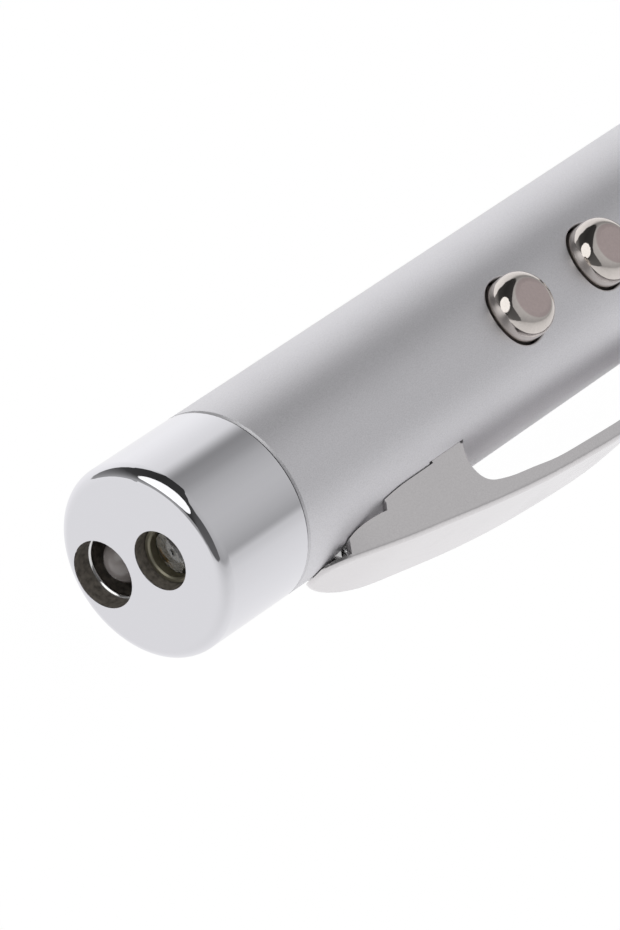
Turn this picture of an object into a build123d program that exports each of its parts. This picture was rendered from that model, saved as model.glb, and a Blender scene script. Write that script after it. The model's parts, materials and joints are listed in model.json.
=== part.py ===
from build123d import *
import os
from math import acos, atan2, cos, degrees, hypot, radians, sin, sqrt

# Pen-shaped laser pointer with a lamp, two buttons, a pocket clip and a twist-action ball pen.
# The pen lies on its side. X runs from the head to the writing tip and Z is up.
# Every piece is built about the pen's axis, with the head's face at X = 0.
# An angle round the axis starts at straight up and grows towards the clip's side.

# Fits and allowances
overrun = 2.0  # how far a cut passes the surface that it opens
press_gap = 0.02  # pieces that are pushed together
run_gap = 0.07  # pieces that turn or slide in each other
seat_gap = 0.1  # pieces that lie against each other
clear_gap = 0.3  # pieces that pass each other

# Casing
head_length = 7.85
ring_length = 4.0
lower_length = 42.0
nose_length = 24.0
seam_gap = 0.06
barrel_wall = 0.7

# Head cap
cap_wall = 0.6
cap_face = 1.5
rim_round = 0.8
seam_bevel = 0.12
lamp_hole_radius = 2.18
laser_hole_radius = 1.9
hole_spacing = 5.0
lamp_to_bore = 0.5  # from the lamp's flange to the cap's bore
buttons_to_holes = 15.2  # degrees round the axis from the button row to the line of openings

# Laser module
module_radius = 2.6
module_bore = 2.0
module_length = 12.4
module_tail = 2.2
tail_bore = 1.5
lens_ring_depth = 0.85  # its nose stands in the cap's opening, this far behind the face
lens_ring_seat = 1.6  # length inside the module
lens_ring_bore = 1.5
lens_ring_bevel = 0.1
lens_inset = 0.2
lens_length = 1.5
lens_bulge = 0.45
lens_spring_radius = 1.68
lens_spring_wire = 0.22
lens_spring_turns = 5
diode_flange_length = 1.0
diode_can_radius = 1.4
diode_can_length = 1.8
diode_window_radius = 0.6
lead_radius = 0.2
diode_lead_circle = 0.6
diode_pads_inset = 2.2

# Lamp
lamp_radius = 1.5
lamp_length = 5.3
lamp_flange_radius = 1.75
lamp_flange_length = 1.0
lamp_tip_depth = 0.9
lamp_lead_pitch = 1.27
lamp_pads_inset = 5.1
lead_bend = 0.6

# Holder and circuit board
well_depth = 2.3
plug_past_module = 1.0
tray_wall = 0.85
tray_past_board = 0.8
board_length = 29.5
board_side_gap = 0.6
board_thickness = 1.0
board_top = -0.1

# Buttons and switches
button_spacing = 8.4
button_from_board_end = 4.95
button_radius = 2.15
button_side_gap = 0.12
button_hole_edge = 0.1
button_rise = 1.6
button_round = 1.15
button_crown = 0.1
button_flange_width = 0.44
button_flange_length = 0.7
button_stem_radius = 1.2
button_travel = 0.5
switch_length = 3.6
switch_width = 4.6
switch_height = 1.6
plunger_radius = 0.9
plunger_length = 1.2
plunger_rise = 0.7

# Cells and contacts
cell_count = 4
cell_radius = 3.95
cell_length = 3.6
cell_cap_radius = 3.1
cell_cap_height = 0.35
contact_radius = 3.2
contact_sheet = 0.3
contact_tab_length = 2.0
contact_tab_half_width = 1.0
sleeve_wall = 0.5
sleeve_collar = 2.5
sleeve_collar_rise = 1.03
battery_spring_length = 4.2
battery_spring_wire = 0.5
battery_spring_wide = 3.2
battery_spring_narrow = 1.7
battery_spring_turns = 3

# Coupling and twist mechanism
coupling_plug = 5.4
coupling_tail = 6.0
grip_ring_wire = 0.45
guide_radius = 3.7
guide_wall = 0.8
guide_bore_depth = 6.0
guide_past_cam = 1.8
cam_start = 8.0
cam_length = 16.0
pin_inset = 5.5
pin_radius = 0.6
pin_height = 1.2
pin_angle = 90.0
twist_angle = 160.0
refill_travel = 5.0
circlip_length = 0.5
circlip_height = 1.0
circlip_bite = 0.25
circlip_opening = 3.0
follower_back = 3.5
follower_front = 4.5
socket_depth = 3.5

# Lower barrel and nose
lower_wall = 0.75
lower_straight = 20.0
lower_taper = 1.65
nose_joint_wall = 0.8
nose_spigot = 6.0
nose_tip_wall = 0.63
nose_tip_gap = 0.17
nose_tip_length = 5.5
nose_tip_round = 0.3
nose_room = 0.5  # round the refill

# Refill
refill_radius = 1.55
refill_wall = 0.3
refill_tip_step = 0.05
refill_tip_spigot = 3.0
refill_tip_shoulder_length = 2.0
refill_tip_neck = 1.1
refill_tip_cone = 4.4
refill_ball_radius = 0.4
refill_ball_rim = 0.05
refill_hidden = 2.2  # from the ball's end to the nose's end, tip drawn in
refill_tip_length = 17.0
refill_spring_wire = 0.28
refill_spring_turns = 6

# Clip, a channel bent from sheet
clip_setback = 2.09  # behind the seam
clip_length = 43.0
clip_width = 7.5
clip_rise = 4.0  # top of the arm above the barrel
clip_sheet = 0.45
clip_nose_length = 7.5
clip_tip_width = 5.0
clip_edge_round = 0.4
cheek_length = 12.9
flange_depth = 0.95
clip_lift_gap = 0.06
buttons_to_clip = 85.4  # degrees round the axis from the button row to the clip
tab_setback = 9.95
tab_length = 2.8
tab_depth = 1.4
slot_side_gap = 0.1
slot_end_gap = 0.3
# Top line of the clip from nose to tip, as shares of its length and of its rise
clip_top_shares = [
    (0.0, 0.04), (0.0145, 0.09), (0.06, 0.255), (0.13, 0.455), (0.204, 0.595), (0.277, 0.722), (0.349, 0.827),
    (0.421, 0.907), (0.494, 0.96), (0.60, 1.0), (0.70, 0.93), (0.80, 0.70), (0.88, 0.43), (0.945, 0.23),
    (0.975, 0.20), (1.0, 0.25),
]
flange_from_share = 0.4  # behind this share of the length the flanges have their full depth
# Lower line of the clip in front of the flanges: the round heel, then the notch of the cheeks, then
# their front, which leaves the nose open under its curl
heel_shares = [
    (0.382, 0.615), (0.337, 0.538), (0.314, 0.472), (0.3005, 0.41), (0.291, 0.305), (0.2867, 0.155),
    (0.287, 0.0), (0.2935, -0.17), (0.3, -0.3), (0.308, -0.55),
]
notch_shares = [(0.1205, -0.55), (0.1195, -0.27), (0.1185, -0.2), (0.1125, -0.108)]
cheek_front_shares = [(0.1125, -0.108), (0.0959, -0.137), (0.0817, -0.147), (0.0674, -0.148), (0.053, -0.128)]
nose_shares = [(0.0455, -0.105), (0.0435, -0.06), (0.036, 0.1), (0.016, 0.01), (0.0, 0.0)]

# Places along the pen, from the head's face back
module_start = cap_face + seat_gap
module_end = module_start + module_length
holder_start = cap_face + well_depth
plug_end = module_end + plug_past_module
board_start = plug_end + seat_gap
board_end = board_start + board_length
holder_end = board_end + tray_past_board
contact_start = holder_end + seat_gap
cells_start = contact_start + contact_sheet + seat_gap / 2
cells_end = cells_start + cell_count * cell_length
spring_start = cells_end + seat_gap / 2
coupling_start = spring_start + battery_spring_length
upper_start = head_length + seam_gap
upper_end = coupling_start + coupling_plug
ring_start = upper_end + seam_gap
ring_end = ring_start + ring_length
lower_start = ring_end + seam_gap
lower_end = lower_start + lower_length
nose_end = lower_end + nose_length
coupling_end = ring_end + coupling_tail
guide_start = coupling_end - guide_bore_depth
cam_from = guide_start + cam_start
cam_to = cam_from + cam_length
guide_end = cam_to + guide_past_cam
pin_x = cam_from + pin_inset
lamp_button_place = board_end - button_from_board_end
button_places = {"laser": lamp_button_place - button_spacing, "lamp": lamp_button_place}

# Radii, from the cells and the refill outwards
bore_radius = cell_radius + run_gap + sleeve_wall + sleeve_collar_rise
pen_radius = bore_radius + barrel_wall
cap_bore = pen_radius - cap_wall
lamp_off_axis = cap_bore - lamp_to_bore - lamp_flange_radius
laser_off_axis = hole_spacing - lamp_off_axis
board_half_width = sqrt(bore_radius ** 2 - (board_thickness - board_top) ** 2) - board_side_gap
button_hole_radius = button_radius + button_side_gap
button_flange_radius = button_hole_radius + button_flange_width
lower_bore_radius = pen_radius - lower_wall
lower_end_radius = pen_radius - lower_taper
nose_bore = lower_end_radius - nose_joint_wall
refill_tip_shoulder = refill_radius + refill_tip_step
nose_inner = refill_tip_shoulder + nose_room
nose_tip_bore = refill_tip_neck + nose_tip_gap
nose_tip_radius = nose_tip_bore + nose_tip_wall
refill_spring_radius = nose_inner - clear_gap - refill_spring_wire / 2

# Places along the clip
clip_start = upper_start + clip_setback
clip_end = clip_start + clip_length
cheek_end = clip_start + cheek_length
tab_start = clip_start + tab_setback
clip_half = clip_width / 2
clip_tip_half = clip_tip_width / 2


# Half of the clip's width at a place along the pen
def clip_half_width(x):
    taper = min(1.0, max(0.0, (x - cheek_end) / (clip_end - cheek_end)))
    return clip_half + (clip_tip_half - clip_half) * taper


def clip_line(shares, lift=0.0):
    return [(clip_start + across * clip_length, pen_radius + lift + up * clip_rise) for across, up in shares]


def clip_top_points(drop=0.0):
    return clip_line(clip_top_shares, clip_lift_gap - drop)


# The pen rests on its round side and on the lower edge of the clip's highest stretch.
def clip_rest_angle():
    corners = [(z, clip_half_width(x)) for x, z in clip_top_points() if x > cheek_end]
    lean = max(atan2(half, z) + acos(pen_radius / hypot(z, half)) for z, half in corners)
    return 180.0 - degrees(lean)


clip_angle = clip_rest_angle()
button_angle = clip_angle - buttons_to_clip
hole_angle = button_angle + buttons_to_holes


def turned(shape, angle):
    return Rot(angle, 0, 0) * shape


def rod(start, end, radius, y=0, z=0):
    bar = Pos(start, y, z) * Rot(0, 90, 0) * Cylinder(
        radius, end - start, align=(Align.CENTER, Align.CENTER, Align.MIN)
    )
    return bar


def tube(start, end, outer, inner):
    return rod(start, end, outer) - rod(start - overrun, end + overrun, inner)


# Block from low to high corner
def block(low, high):
    size = [b - a for a, b in zip(low, high)]
    middle = [(a + b) / 2 for a, b in zip(low, high)]
    return Pos(*middle) * Box(*size)


# Upright cylinder between two heights
def post(x, bottom, top, radius, y=0):
    return Pos(x, y, bottom) * Cylinder(
        radius, top - bottom, align=(Align.CENTER, Align.CENTER, Align.MIN)
    )


# Solid of revolution about the pen's axis from lines and curves given by (place, radius)
def spun(outline):
    return revolve(make_face(outline), axis=Axis.X)


def profile(points):
    return Polyline(*[(x, r) for x, r in points], close=True)


def coil(start, length, first_radius, last_radius, wire, turns):
    slope = degrees(atan2(last_radius - first_radius, length))
    line = Helix(length / turns, length, first_radius, cone_angle=slope)
    section = Plane(origin=line @ 0, z_dir=line % 0) * Circle(wire / 2)
    return Pos(start, 0, 0) * Rot(0, 90, 0) * sweep(section, path=line, is_frenet=True)


def lead(points, radius, bend):
    line = FilletPolyline(*points, radius=bend)
    section = Plane(origin=line @ 0, z_dir=line % 0) * Circle(radius)
    return sweep(section, path=line)


def head_cap():
    cap = rod(0, head_length, pen_radius)
    rims = cap.edges().filter_by(GeomType.CIRCLE).sort_by(Axis.X)
    cap = fillet(rims[0], rim_round)
    rims = cap.edges().filter_by(GeomType.CIRCLE).sort_by(Axis.X)
    cap = chamfer(rims[-1], seam_bevel)
    cap -= rod(cap_face, head_length + overrun, cap_bore)
    openings = rod(-overrun, cap_face + overrun, laser_hole_radius, z=laser_off_axis)
    openings += rod(-overrun, cap_face + overrun, lamp_hole_radius, z=-lamp_off_axis)
    return cap - turned(openings, hole_angle)


def in_module(shape):
    return turned(Pos(0, 0, laser_off_axis) * shape, hole_angle)


def laser_housing():
    body = rod(module_start, module_end, module_radius)
    body -= rod(module_start - overrun, module_end - module_tail, module_bore)
    body -= rod(module_start, module_end + overrun, tail_bore)
    return in_module(body)


lens_ring_shoulder = module_start + seat_gap
lens_ring_end = lens_ring_shoulder + lens_ring_seat
lens_start = lens_ring_depth + lens_inset
lens_end = lens_start + lens_length


def lens_ring():
    nose = laser_hole_radius - seat_gap
    seat = module_bore - press_gap
    mouth = lens_ring_bore + lens_ring_bevel
    outline = profile([
        (lens_ring_depth, mouth), (lens_ring_depth, nose), (lens_ring_shoulder, nose),
        (lens_ring_shoulder, seat), (lens_ring_end, seat), (lens_ring_end, lens_ring_bore),
        (lens_ring_depth + lens_ring_bevel, lens_ring_bore),
    ])
    return in_module(spun(outline))


diode_front = module_end - module_tail - diode_flange_length


def laser_lens():
    edge = lens_ring_bore - press_gap
    crown = lens_start + lens_bulge
    outline = Curve() + [
        Line((lens_start, 0), (lens_end, 0)),
        Line((lens_end, 0), (lens_end, edge)),
        Line((lens_end, edge), (crown, edge)),
        TangentArc((lens_start, 0), (crown, edge), tangent=(0, 1)),
    ]
    return in_module(spun(outline))


def lens_spring():
    start = lens_ring_end + lens_spring_wire / 2
    length = diode_front - lens_spring_wire / 2 - start
    coil_piece = coil(
        start, length, lens_spring_radius, lens_spring_radius, lens_spring_wire, lens_spring_turns
    )
    return in_module(coil_piece)


def laser_diode():
    flange_end = diode_front + diode_flange_length
    can = rod(diode_front, flange_end, module_bore - press_gap)
    can += rod(diode_front - diode_can_length, diode_front, diode_can_radius)
    window = rod(
        diode_front - diode_can_length - overrun, diode_front - diode_can_length + contact_sheet,
        diode_window_radius,
    )
    return in_module(can - window)


# The laser module's centre as seen with the buttons straight up
laser_z = laser_off_axis * cos(radians(buttons_to_holes))
laser_y = -laser_off_axis * sin(radians(buttons_to_holes))
lamp_z = -lamp_off_axis * cos(radians(buttons_to_holes))
lamp_y = lamp_off_axis * sin(radians(buttons_to_holes))


def diode_leads():
    start = module_end - module_tail
    end = board_start + diode_pads_inset
    pins = []
    for side, height in ((-1, 0), (1, 0), (0, 1)):
        y = laser_y + side * diode_lead_circle
        z = laser_z + height * diode_lead_circle
        # the middle lead reaches further back, so the three pads are not in line
        back = end + height * 2 * diode_lead_circle
        points = [(start, y, z), (back, y, z), (back, y, board_top)]
        pins.append(lead(points, lead_radius, lead_bend))
    return turned(Compound(pins), button_angle)


def lamp_body():
    tip = lamp_tip_depth
    back = tip + lamp_length
    body = rod(tip + lamp_radius, back, lamp_radius)
    body += Pos(tip + lamp_radius, 0, 0) * Sphere(lamp_radius)
    body += rod(back - lamp_flange_length, back, lamp_flange_radius)
    return turned(Pos(0, 0, -lamp_off_axis) * body, hole_angle)


def lamp_leads():
    start = lamp_tip_depth + lamp_length
    end = board_start + lamp_pads_inset
    under = board_top - board_thickness
    pins = []
    for side in (-1, 1):
        y = lamp_y + side * lamp_lead_pitch
        points = [(start, y, lamp_z), (end, y, lamp_z), (end, y, under)]
        pins.append(lead(points, lead_radius, lead_bend))
    return turned(Compound(pins), button_angle)


# The room that the clip's two tabs and their slots take, in the clip's own upright frame
def clip_tabs(side_gap=0.0, end_gap=0.0, depth_gap=0.0):
    inner = clip_half - clip_sheet
    barrel_inside = sqrt(bore_radius ** 2 - inner ** 2)
    low = barrel_inside - (tab_depth - barrel_wall) - depth_gap
    high = sqrt((pen_radius + clip_lift_gap) ** 2 - inner ** 2) + press_gap + depth_gap
    pair = []
    for side in (-1, 1):
        ys = sorted((side * (inner - side_gap / 2), side * (clip_half + side_gap)))
        pair.append(block(
            (tab_start - end_gap, ys[0], low), (tab_start + tab_length + end_gap, ys[1], high)
        ))
    return pair


def optics_holder():
    in_cap = cap_bore - press_gap
    in_barrel = bore_radius - press_gap
    body = rod(holder_start, head_length, in_cap) + rod(head_length, plug_end, in_barrel)
    tray = tube(plug_end, holder_end, in_barrel, in_barrel - tray_wall)
    above = board_top - board_thickness - seat_gap / 2
    tray -= block(
        (plug_end - overrun, -pen_radius, above), (holder_end + overrun, pen_radius, pen_radius + overrun)
    )
    body += turned(tray, button_angle)
    module_room = rod(holder_start - overrun, plug_end + overrun, module_radius + press_gap)
    body -= in_module(module_room)
    flange_from = lamp_tip_depth + lamp_length - lamp_flange_length - press_gap
    lamp_room = rod(holder_start - overrun, plug_end + overrun, lamp_radius + press_gap)
    lamp_room += rod(flange_from, plug_end + overrun, lamp_flange_radius + press_gap)
    body -= turned(Pos(0, 0, -lamp_off_axis) * lamp_room, hole_angle)
    for room in clip_tabs(clear_gap + slot_side_gap, clear_gap + slot_end_gap, clear_gap):
        body -= turned(room, clip_angle)
    return body


def circuit_board():
    board = block(
        (board_start, -board_half_width, board_top - board_thickness),
        (board_end, board_half_width, board_top),
    )
    corners = board.edges().filter_by(Axis.Z)
    return turned(fillet(corners, board_thickness / 2), button_angle)


# Small parts soldered to the board between its front end and the laser switch, each by its place as
# a share of that stretch, its side as a share of the board's half width, and its size
chip_size = (2.9, 1.6, 1.1)
resistor_size = (2.0, 1.25, 0.5)
capacitor_size = (1.6, 0.8, 0.8)
driver_shares = [
    (0.62, 0.45, chip_size), (0.52, -0.55, resistor_size), (0.72, -0.55, resistor_size),
    (0.86, 0.55, capacitor_size),
]


def driver_parts():
    pieces = []
    room = button_places["laser"] - switch_length / 2 - board_start
    for along, across, size in driver_shares:
        x = board_start + along * room
        y = across * board_half_width
        half = (size[0] / 2, size[1] / 2)
        pieces.append(block(
            (x - half[0], y - half[1], board_top), (x + half[0], y + half[1], board_top + size[2])
        ))
    return turned(Compound(pieces), button_angle)


def switch_body(place):
    body = block(
        (place - switch_length / 2, -switch_width / 2, board_top),
        (place + switch_length / 2, switch_width / 2, board_top + switch_height),
    )
    top = board_top + switch_height
    bottom = top + plunger_rise - plunger_length - button_travel - clear_gap / 2
    body -= post(place, bottom, top + overrun, plunger_radius + run_gap)
    return turned(body, button_angle)


plunger_top = board_top + switch_height + plunger_rise


def plunger(place):
    return turned(post(place, plunger_top - plunger_length, plunger_top, plunger_radius), button_angle)


def button(place):
    flange_top = sqrt(bore_radius ** 2 - button_flange_radius ** 2) - seat_gap
    top = pen_radius + button_rise
    edge = top - button_crown
    half = Curve() + [
        ThreePointArc((0, top), (button_radius / 2, top - button_crown / 4), (button_radius, edge)),
        Polyline(
            (button_radius, edge), (button_radius, flange_top),
            (button_flange_radius, flange_top), (button_flange_radius, flange_top - button_flange_length),
            (button_stem_radius, flange_top - button_flange_length), (button_stem_radius, plunger_top),
            (0, plunger_top), (0, top),
        ),
    ]
    cap = revolve(Plane.XZ * make_face(half), axis=Axis.Z)
    rim = cap.edges().filter_by(lambda line: abs(line.center().Z - edge) < press_gap)
    return turned(Pos(place, 0, 0) * fillet(rim, button_round), button_angle)


def upper_barrel():
    barrel = tube(upper_start, upper_end, pen_radius, bore_radius)
    barrel = chamfer(barrel.edges().filter_by(GeomType.CIRCLE).sort_by(SortBy.RADIUS)[-2:], seam_bevel)
    ends = barrel.edges()
    for place in button_places.values():
        barrel -= turned(post(place, 0, pen_radius + overrun, button_hole_radius), button_angle)
    hole_rims = [edge for edge in barrel.edges() - ends if on_casing(edge)]
    barrel = fillet(hole_rims, button_hole_edge)
    for room in clip_tabs(slot_side_gap, slot_end_gap, overrun):
        barrel -= turned(room, clip_angle)
    return barrel


def on_casing(edge):
    place = edge.position_at(0)
    return hypot(place.Y, place.Z) > pen_radius - barrel_wall / 2


# Plan outline of the clip, drawn in from its edge by the sheet where the inside is cut
def clip_plan(inset=0.0):
    start = clip_start + inset
    nose = clip_start + clip_nose_length
    half = clip_half - inset
    tip = clip_tip_half - inset
    bend = clip_end - clip_tip_half
    edge = Curve() + [
        EllipticalCenterArc((nose, 0), nose - start, half, start_angle=90, arc_size=180),
        Line((nose, -half), (cheek_end, -half)),
        Spline((cheek_end, -half), (bend, -tip), tangents=((1, 0), (1, 0))),
        ThreePointArc((bend, -tip), (bend + tip, 0), (bend, tip)),
        Spline((bend, tip), (cheek_end, half), tangents=((-1, 0), (-1, 0))),
        Line((cheek_end, half), (nose, half)),
    ]
    return extrude(make_face(edge), pen_radius + clip_rise + overrun)


# Slab under the clip's top line, cut away below by the line of the cheeks and the arm's flanges
def clip_side(points, lower):
    edge = Curve() + [Spline(*points), Polyline(points[-1], *lower, points[0])]
    return across_clip(make_face(edge))


# Side view face drawn out over the clip's whole width
def across_clip(face):
    side = clip_half + overrun
    return extrude(Plane((0, side, 0), x_dir=(1, 0, 0), z_dir=(0, -1, 0)) * face, 2 * side)


# What is left of the clip's side above its lower line
def clip_side_room(top):
    tip_low = top[-1][1] - flange_depth
    ends = (clip_start - overrun, clip_end + overrun)
    ceiling = pen_radius + 2 * clip_rise
    flange_from = clip_start + flange_from_share * clip_length
    arm = [(x, z - flange_depth) for x, z in reversed(top) if x > flange_from]
    heel = clip_line(heel_shares)
    front = clip_line(cheek_front_shares)
    nose = clip_line(nose_shares)
    around = [(ends[0], nose[-1][1]), (ends[0], ceiling), (ends[1], ceiling), (ends[1], tip_low)]
    edge = Curve() + [
        Polyline((ends[1], tip_low), arm[0]),
        Spline(*arm, *heel),
        Polyline(heel[-1], *clip_line(notch_shares)),
        Spline(*front),
        Polyline(front[-1], *nose, *around),
    ]
    return across_clip(make_face(edge))


def clip():
    top = clip_top_points()
    ends = (clip_start - overrun, clip_end + overrun)
    floor = [(ends[1], 0), (ends[0], 0)]
    outer = clip_side([(ends[0], top[0][1]), *top, (ends[1], top[-1][1])], floor) & clip_plan()
    top_face = max(outer.faces(), key=lambda face: face.normal_at(face.center()).Z)
    outer = fillet(top_face.edges(), clip_edge_round)
    outer &= clip_side_room(top)
    under = clip_top_points(clip_sheet)
    hollow = clip_side([(ends[0], under[0][1]), *under, (ends[1], under[-1][1])], floor)
    hollow &= clip_plan(clip_sheet)
    shell = outer - hollow - rod(0, lower_end, pen_radius + clip_lift_gap)
    for tab in clip_tabs():
        shell += tab
    return turned(shell, clip_angle)


def battery_contact():
    plate = rod(contact_start, contact_start + contact_sheet, contact_radius)
    tab = block(
        (board_end - contact_tab_length, -contact_tab_half_width, board_top),
        (contact_start + contact_sheet, contact_tab_half_width, board_top + contact_sheet),
    )
    return turned(plate + tab, button_angle)


def cell(number):
    start = cells_start + number * cell_length
    body = rod(start + cell_cap_height, start + cell_length, cell_radius)
    return body + rod(start, start + cell_cap_height, cell_cap_radius)


def battery_sleeve():
    inner = cell_radius + run_gap
    start = contact_start + contact_sheet / 2
    end = cells_end
    shell = tube(start, end, inner + sleeve_wall, inner)
    shell += tube(start, start + sleeve_collar, bore_radius - press_gap, inner)
    shell += tube(end - sleeve_collar, end, bore_radius - press_gap, inner)
    return shell


def battery_spring():
    start = spring_start + battery_spring_wire / 2
    length = battery_spring_length - battery_spring_wire
    return coil(
        start, length, battery_spring_narrow, battery_spring_wide, battery_spring_wire, battery_spring_turns
    )


grip_ring_place = (coupling_start + upper_end) / 2
grip_ring_radius = bore_radius - press_gap - grip_ring_wire


coupling_rear_radius = lower_bore_radius - run_gap


def coupling():
    body = rod(coupling_start, ring_start, bore_radius - run_gap)
    body += rod(ring_start, coupling_end, coupling_rear_radius)
    body -= rod(guide_start, coupling_end + overrun, guide_radius)
    half = grip_ring_wire + seat_gap / 2
    groove = tube(
        grip_ring_place - half, grip_ring_place + half, pen_radius, grip_ring_radius - grip_ring_wire
    )
    return body - groove


def grip_ring():
    return Pos(grip_ring_place, 0, 0) * Rot(0, 90, 0) * Torus(grip_ring_radius, grip_ring_wire)


def middle_ring():
    ring = tube(ring_start, ring_end, pen_radius, coupling_rear_radius + press_gap)
    rims = ring.edges().filter_by(GeomType.CIRCLE).sort_by(SortBy.RADIUS)[-2:]
    return fillet(rims, seam_bevel * 2)


def guide_tube():
    body = tube(guide_start, guide_end, guide_radius, guide_radius - guide_wall)
    half = pin_radius + run_gap
    slot_from = pin_x
    slot_to = pin_x + refill_travel
    slot = post(slot_from, 0, guide_radius + overrun, half) + post(slot_to, 0, guide_radius + overrun, half)
    slot += block((slot_from, -half, 0), (slot_to, half, guide_radius + overrun))
    body -= turned(slot, pin_angle)
    groove_from = cam_to + seat_gap / 2
    groove = tube(
        groove_from, groove_from + circlip_length + seat_gap / 2, pen_radius, guide_radius - circlip_bite
    )
    return body - groove


def circlip():
    start = cam_to + seat_gap / 2 + seat_gap / 4
    inner = guide_radius - circlip_bite + press_gap
    ring = tube(start, start + circlip_length, guide_radius + circlip_height, inner)
    gap = block(
        (start - overrun, -circlip_opening / 2, 0),
        (start + circlip_length + overrun, circlip_opening / 2, pen_radius),
    )
    return ring - gap


def cam_sleeve():
    body = tube(cam_from, cam_to, lower_bore_radius - press_gap, guide_radius + run_gap)
    # The slot falls back round the sleeve as it runs forward, so that turning the sleeve drives the pin.
    reach = lower_bore_radius + overrun
    pitch = refill_travel * 360 / twist_angle
    mid_radius = (guide_radius + lower_bore_radius) / 2
    half = pin_radius + 2 * run_gap
    line = Helix(pitch, refill_travel, mid_radius, lefthand=True)
    depth = lower_bore_radius - guide_radius + overrun
    start_plane = Plane(origin=line @ 0, x_dir=(1, 0, 0), z_dir=line % 0)
    cuts = []
    for along, turn in ((0, 0), (refill_travel, -twist_angle)):
        cuts.append(Rot(0, 0, turn) * Pos(0, 0, along) * Rot(0, 90, 0) * Cylinder(
            half + press_gap, reach, align=(Align.CENTER, Align.CENTER, Align.MIN)
        ))
    cuts.append(sweep(start_plane * Rectangle(depth, 2 * half), path=line, is_frenet=True))
    # The helix starts on the local X axis, which is turned here to the pin's direction.
    # Its two ends, a little wider than the pin's run, and the stretch between are cut one by one.
    for cut in cuts:
        body -= turned(Pos(pin_x, 0, 0) * Rot(0, 90, 0) * cut, pin_angle + 180)
    return body


def follower():
    body = rod(pin_x - follower_back, pin_x + follower_front, guide_radius - guide_wall - run_gap)
    body -= rod(
        pin_x + follower_front - socket_depth, pin_x + follower_front + overrun, refill_radius + press_gap
    )
    body += turned(post(pin_x, 0, guide_radius + pin_height, pin_radius), pin_angle)
    return body


def lower_barrel():
    straight_end = lower_start + lower_straight
    bore_end = guide_end + clear_gap
    outline = Curve() + [
        Polyline(
            (lower_start, lower_bore_radius), (lower_start, pen_radius - seam_bevel),
            (lower_start + seam_bevel, pen_radius), (straight_end, pen_radius),
        ),
        TangentArc((straight_end, pen_radius), (lower_end, lower_end_radius), tangent=(1, 0)),
        Polyline(
            (lower_end, lower_end_radius), (lower_end, nose_bore),
            (bore_end, nose_bore), (bore_end, lower_bore_radius), (lower_start, lower_bore_radius),
        ),
    ]
    return spun(outline)


refill_end = nose_end - refill_hidden
refill_tip_start = refill_end - refill_tip_length


def nose_cone():
    slope = 2 * (pen_radius - lower_end_radius) / (lower_length - lower_straight)
    spigot_from = lower_end - nose_spigot
    tip_bore_from = nose_end - nose_tip_length
    outline = Curve() + [
        Polyline(
            (spigot_from, nose_inner), (spigot_from, nose_bore - press_gap),
            (lower_end, nose_bore - press_gap), (lower_end, lower_end_radius),
        ),
        Spline(
            (lower_end, lower_end_radius), (nose_end - nose_tip_round, nose_tip_radius),
            tangents=((1, -slope), (1, -slope)),
        ),
        RadiusArc(
            (nose_end - nose_tip_round, nose_tip_radius), (nose_end, nose_tip_radius - nose_tip_round),
            nose_tip_round,
        ),
        Polyline(
            (nose_end, nose_tip_radius - nose_tip_round), (nose_end, nose_tip_bore),
            (tip_bore_from, nose_tip_bore),
            (tip_bore_from, nose_inner), (spigot_from, nose_inner),
        ),
    ]
    return spun(outline)


def refill_tube():
    start = pin_x + follower_front - socket_depth
    return tube(start, refill_tip_start + refill_tip_spigot, refill_radius, refill_radius - refill_wall)


def refill_tip():
    spigot = refill_radius - refill_wall - press_gap
    shoulder_from = refill_tip_start + refill_tip_spigot
    shoulder_to = shoulder_from + refill_tip_shoulder_length
    cone_from = refill_end - refill_tip_cone
    cone_to = refill_end - refill_ball_radius
    outline = profile([
        (refill_tip_start, 0), (refill_tip_start, spigot), (shoulder_from, spigot),
        (shoulder_from, refill_tip_shoulder), (shoulder_to, refill_tip_shoulder),
        (shoulder_to, refill_tip_neck), (cone_from, refill_tip_neck),
        (cone_to, refill_ball_radius + refill_ball_rim), (cone_to, 0),
    ])
    seat = Pos(refill_end - refill_ball_radius, 0, 0) * Sphere(refill_ball_radius + press_gap / 2)
    return spun(outline) - seat


def refill_ball():
    return Pos(refill_end - refill_ball_radius, 0, 0) * Sphere(refill_ball_radius)


def refill_spring():
    start = refill_tip_start + refill_tip_spigot + refill_tip_shoulder_length + refill_spring_wire / 2
    end = nose_end - nose_tip_length - refill_spring_wire / 2
    start += seat_gap / 4
    end -= seat_gap / 4
    radius = refill_spring_radius
    return coil(start, end - start, radius, radius, refill_spring_wire, refill_spring_turns)


nodes = {
    "head_cap": head_cap(),
    "laser_housing": laser_housing(),
    "lens_ring": lens_ring(),
    "laser_lens": laser_lens(),
    "lens_spring": lens_spring(),
    "laser_diode": laser_diode(),
    "diode_leads": diode_leads(),
    "lamp_body": lamp_body(),
    "lamp_leads": lamp_leads(),
    "optics_holder": optics_holder(),
    "circuit_board": circuit_board(),
    "driver_parts": driver_parts(),
    "upper_barrel": upper_barrel(),
    "clip": clip(),
    "battery_contact": battery_contact(),
    "battery_sleeve": battery_sleeve(),
    "battery_spring": battery_spring(),
    "coupling": coupling(),
    "grip_ring": grip_ring(),
    "middle_ring": middle_ring(),
    "guide_tube": guide_tube(),
    "circlip": circlip(),
    "cam_sleeve": cam_sleeve(),
    "lower_barrel": lower_barrel(),
    "nose_cone": nose_cone(),
    "follower": follower(),
    "refill_tube": refill_tube(),
    "refill_tip": refill_tip(),
    "refill_ball": refill_ball(),
    "refill_spring": refill_spring(),
}
for name, place in button_places.items():
    nodes[name + "_button"] = button(place)
    nodes[name + "_switch"] = switch_body(place)
    nodes[name + "_plunger"] = plunger(place)
for number in range(cell_count):
    nodes[f"cell_{number + 1}"] = cell(number)

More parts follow.
